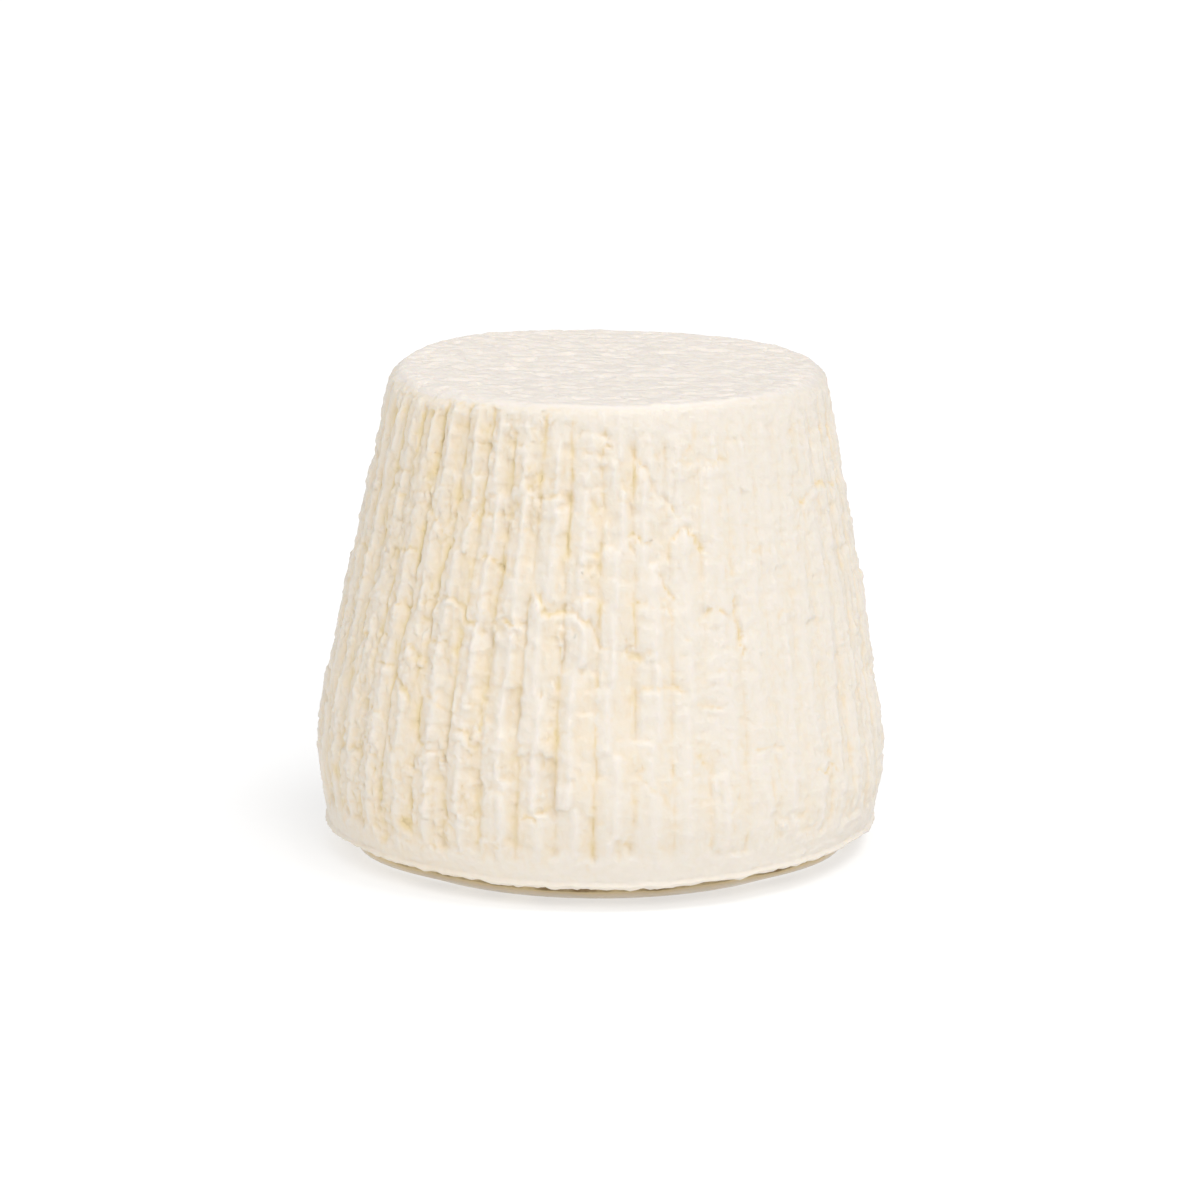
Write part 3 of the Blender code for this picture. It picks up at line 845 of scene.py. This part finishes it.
curd = {
    # from the bare crust down to the deepest creases; the last, dark brown stop is mostly painted shade
    # under the sole's edge
    "colours": [(0.0, (0.778, 0.722, 0.662, 1)), (0.22, (0.759, 0.698, 0.610, 1)),
                (0.5, (0.768, 0.660, 0.51, 1)), (0.8, (0.74, 0.605, 0.36, 1)),
                (1.0, (0.27, 0.18, 0.08, 1))],
    "blotchScale": 130.0, "blotches": (0.6, 0.8),  # least share of the stain, and how much more
    "speckleScale": 800.0, "speckles": 0.15,
    "grainScale": 1500.0, "coarseGrainScale": 600.0, "coarseGrain": 0.8,
    "bump": 0.22, "bumpDistance": 0.0004,
    "roughness": 0.42, "roughnessSpeckles": 0.12,
    "subsurface": 0.18, "subsurfaceRadius": (1.0, 0.72, 0.42), "subsurfaceScale": 0.0015,
    "ior": 1.4,
}


def curdMaterial():
    material = bpy.data.materials.new("saltedCurd")
    bench = Bench(material)
    place = bench.add("TexCoord", output=3)

    def noisy(scale, detail=3.0):
        return bench.add("TexNoise", None, {"Vector": place, "Scale": scale, "Detail": detail,
                                            "Roughness": 0.6})

    # the stain values, with the sole's painted shade in them
    depth = bench.add("Attribute", {"attribute_name": "creaseDepth"}, output=2)
    blotches, speckle = noisy(curd["blotchScale"]), noisy(curd["speckleScale"])
    least, more = curd["blotches"]
    stainAndShade = depth * (least + blotches * more) + (speckle - 0.5) * curd["speckles"]
    colour = bench.add("ValToRGB", {"stops": curd["colours"]}, {"Fac": stainAndShade})
    grain = noisy(curd["grainScale"], 4.0) + noisy(curd["coarseGrainScale"], 2.0) * curd["coarseGrain"]
    bumped = bench.add("Bump", None, {"Strength": curd["bump"], "Distance": curd["bumpDistance"],
                                      "Height": grain})
    shader = bench.tree.nodes.new("ShaderNodeBsdfPrincipled")
    bench.feed(shader.inputs["Base Color"], colour)
    bench.feed(shader.inputs["Roughness"], curd["roughness"] + speckle * curd["roughnessSpeckles"])
    bench.feed(shader.inputs["Normal"], bumped)
    shader.inputs["Subsurface Weight"].default_value = curd["subsurface"]
    shader.inputs["Subsurface Radius"].default_value = curd["subsurfaceRadius"]
    shader.inputs["Subsurface Scale"].default_value = curd["subsurfaceScale"]
    shader.inputs["IOR"].default_value = curd["ior"]
    out = bench.tree.nodes.new("ShaderNodeOutputMaterial")
    bench.tree.links.new(shader.outputs[0], out.inputs["Surface"])
    return material


print("shaping the cheese")
saltedCheese = makeCheese()
saltedCheese.data.materials.append(curdMaterial())
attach(saltedCheese, "root")
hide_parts(cheeseNode)


studio = {
    "floorSize": 12.0, "floorColour": (0.42, 0.42, 0.42, 1), "floorRoughness": 0.9, "floorShine": 0.1,
    "floorGlow": 0.585,
    "skyStrength": 0.49,
    # name, direction, elevation, spread in degrees and strength
    "lights": [("frontLight", 18, 36, 30, 1.18), ("topLight", 70, 66, 24, 1.04),
               ("leftLight", -74, 40, 30, 0.66)],
    "lightDistance": 2.0,
    "cameraElevation": 13.0, "cameraDistance": 0.843, "lens": 144.7, "sensor": 36.0,
    "aimAbove": 0.5,  # mm above the cheese's middle
}


def aroundCheese(direction, elevation, distance, centre):
    # a place seen from the centre: direction in degrees from the front towards +X
    side, up = math.radians(direction), math.radians(elevation)
    toward = Vector((math.sin(side) * math.cos(up), -math.cos(side) * math.cos(up), math.sin(up)))
    return centre + toward * distance


def makeFloor():
    selectNothing()
    bpy.ops.mesh.primitive_plane_add(size=studio["floorSize"])
    floor = bpy.context.object
    floor.name = "paleFloor"
    paint = bpy.data.materials.new("palePaper")
    bench = Bench(paint)
    shader = bench.tree.nodes.new("ShaderNodeBsdfPrincipled")
    shader.inputs["Base Color"].default_value = studio["floorColour"]
    shader.inputs["Roughness"].default_value = studio["floorRoughness"]
    shader.inputs["Specular IOR Level"].default_value = studio["floorShine"]
    shader.inputs["Emission Color"].default_value = (1, 1, 1, 1)
    shader.inputs["Emission Strength"].default_value = studio["floorGlow"]
    out = bench.tree.nodes.new("ShaderNodeOutputMaterial")
    bench.tree.links.new(shader.outputs[0], out.inputs["Surface"])
    floor.data.materials.append(paint)


def makeLights(centre):
    world = bpy.data.worlds.new("studioSky")
    world.use_nodes = True
    sky = world.node_tree.nodes["Background"]
    sky.inputs["Color"].default_value = (1, 1, 1, 1)
    sky.inputs["Strength"].default_value = studio["skyStrength"]
    bpy.context.scene.world = world
    for name, direction, elevation, spread, strength in studio["lights"]:
        data = bpy.data.lights.new(name, "SUN")
        data.angle, data.energy = math.radians(spread), strength
        light = bpy.data.objects.new(name, data)
        light.location = aroundCheese(direction, elevation, studio["lightDistance"], centre)
        light.rotation_euler = (centre - light.location).to_track_quat("-Z", "Y").to_euler()
        bpy.context.scene.collection.objects.link(light)


def makeCamera(centre):
    lens = bpy.data.cameras.new("viewCamera")
    lens.lens, lens.sensor_width = studio["lens"], studio["sensor"]
    lens.clip_start, lens.clip_end = 0.05, 30
    camera = bpy.data.objects.new("viewCamera", lens)
    aim = centre + Vector((0, 0, studio["aimAbove"] * mm))
    camera.location = aroundCheese(0, studio["cameraElevation"], studio["cameraDistance"], centre)
    camera.rotation_euler = (aim - camera.location).to_track_quat("-Z", "Y").to_euler()
    bpy.context.scene.collection.objects.link(camera)
    bpy.context.scene.camera = camera
    bpy.context.scene.view_settings.view_transform = "Standard"


cheeseCentre = Vector((0, 0, topHeight * mm / 2))
makeFloor()
makeLights(cheeseCentre)
makeCamera(cheeseCentre)
print("studio ready")
